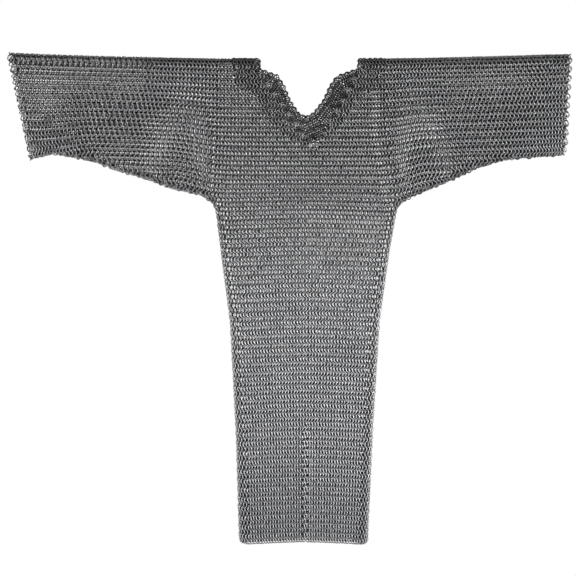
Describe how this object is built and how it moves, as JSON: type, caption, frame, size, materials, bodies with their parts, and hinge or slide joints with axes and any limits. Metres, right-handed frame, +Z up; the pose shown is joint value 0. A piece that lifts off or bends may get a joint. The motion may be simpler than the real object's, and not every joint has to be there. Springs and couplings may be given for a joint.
{
  "type": "chainmail shirt",
  "caption": "Short-sleeved shirt of woven steel rings hung over a pole, with a V neck in front, wide open sleeves and a slit hem.",
  "frame": {"origin": "on the axis of the pole that the shirt hangs on, in the middle of the neck", "axes": "+X along the pole to the wearer's left, +Y to the back of the shirt, +Z up"},
  "size_m": [1.0142, 0.037, 0.8854],
  "materials": {
    "shoulder_mail": "dark oiled steel rings",
    "sleeve_mail": "dark oiled steel rings",
    "body_mail": "worn grey steel rings",
    "skirt_mail": "worn grey steel rings"
  },
  "bodies": {
    "shoulders": {"shoulder_top_left": "shoulder_mail", "shoulder_top_right": "shoulder_mail", "yoke_front_left": "shoulder_mail", "yoke_front_right": "shoulder_mail", "yoke_back_left": "shoulder_mail", "yoke_back_right": "shoulder_mail", "chest_front": "body_mail", "chest_back": "body_mail", "armpit_gusset_left": "body_mail", "armpit_gusset_right": "body_mail", "midriff_front": "body_mail", "midriff_back": "body_mail", "midriff_side_left": "body_mail", "midriff_side_right": "body_mail", "shoulder_fold_left": "shoulder_mail", "shoulder_fold_right": "shoulder_mail", "waist_fold": "body_mail"},
    "lower_body": {"waist_front": "body_mail", "waist_back": "body_mail", "waist_side_left": "body_mail", "waist_side_right": "body_mail", "hip_fold_left": "skirt_mail", "hip_fold_right": "skirt_mail"},
    "sleeve_left": {"sleeve_top_left": "sleeve_mail", "sleeve_front_left": "sleeve_mail", "sleeve_back_left": "sleeve_mail", "sleeve_under_left": "sleeve_mail"},
    "skirt_left": {"skirt_front_left": "skirt_mail", "skirt_back_left": "skirt_mail", "skirt_side_left": "skirt_mail"},
    "sleeve_right": {"sleeve_top_right": "sleeve_mail", "sleeve_front_right": "sleeve_mail", "sleeve_back_right": "sleeve_mail", "sleeve_under_right": "sleeve_mail"},
    "skirt_right": {"skirt_front_right": "skirt_mail", "skirt_back_right": "skirt_mail", "skirt_side_right": "skirt_mail"}
  },
  "joints": [
    {"name": "left_sleeve_swing", "type": "hinge", "parent": "shoulders", "child": "sleeve_left", "pos_m": [0.2, 0, 0], "axis": [0, 0, -1], "range_deg": [-45, 90], "deforming": ["shoulder_fold_left"]},
    {"name": "right_sleeve_swing", "type": "hinge", "parent": "shoulders", "child": "sleeve_right", "pos_m": [-0.2, 0, 0], "axis": [0, 0, 1], "range_deg": [-45, 90], "deforming": ["shoulder_fold_right"]},
    {"name": "waist_bend", "type": "hinge", "parent": "shoulders", "child": "lower_body", "pos_m": [0, 0, -0.452], "axis": [-1, 0, 0], "range_deg": [-45, 60], "deforming": ["waist_fold"]},
    {"name": "left_skirt_swing", "type": "hinge", "parent": "lower_body", "child": "skirt_left", "pos_m": [0, 0, -0.675], "axis": [-1, 0, 0], "range_deg": [-40, 60], "deforming": ["hip_fold_left"]},
    {"name": "right_skirt_swing", "type": "hinge", "parent": "lower_body", "child": "skirt_right", "pos_m": [0, 0, -0.675], "axis": [-1, 0, 0], "range_deg": [-40, 60], "deforming": ["hip_fold_right"]}
  ]
}
